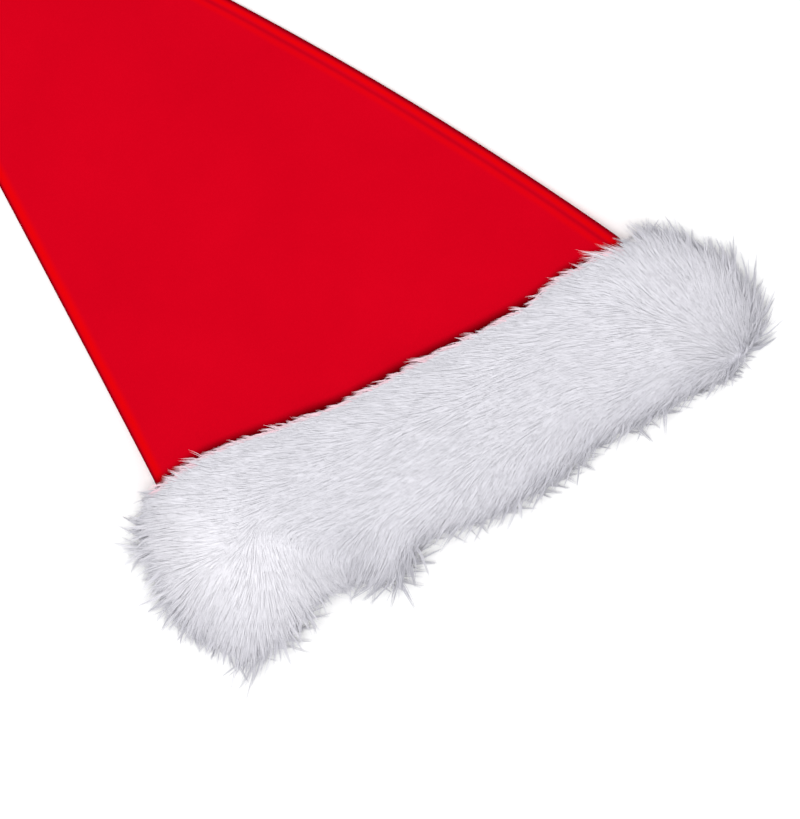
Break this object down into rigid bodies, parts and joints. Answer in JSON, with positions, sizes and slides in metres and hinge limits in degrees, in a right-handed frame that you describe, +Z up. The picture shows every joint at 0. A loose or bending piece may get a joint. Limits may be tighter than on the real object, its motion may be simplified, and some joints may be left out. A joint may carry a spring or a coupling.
{
  "type": "santa hat",
  "caption": "Red felt cone hat lying flat, with a deep white plush cuff round its open mouth and a plush pompom on its tip.",
  "frame": {"origin": "middle of the hat's footprint, on the surface it lies on", "axes": "+X along the cuff from the folded edge to the sewn edge, +Y from the cuff to the pompom, +Z up"},
  "size_m": [0.3518, 0.5446, 0.0671],
  "materials": {
    "red_felt": "matte brushed felt",
    "cuff_plush": "long soft pile",
    "pompom_plush": "long soft pile"
  },
  "bodies": {
    "root": {"crown": "red_felt", "fur_cuff": "cuff_plush", "pompom": "pompom_plush"}
  },
  "joints": []
}
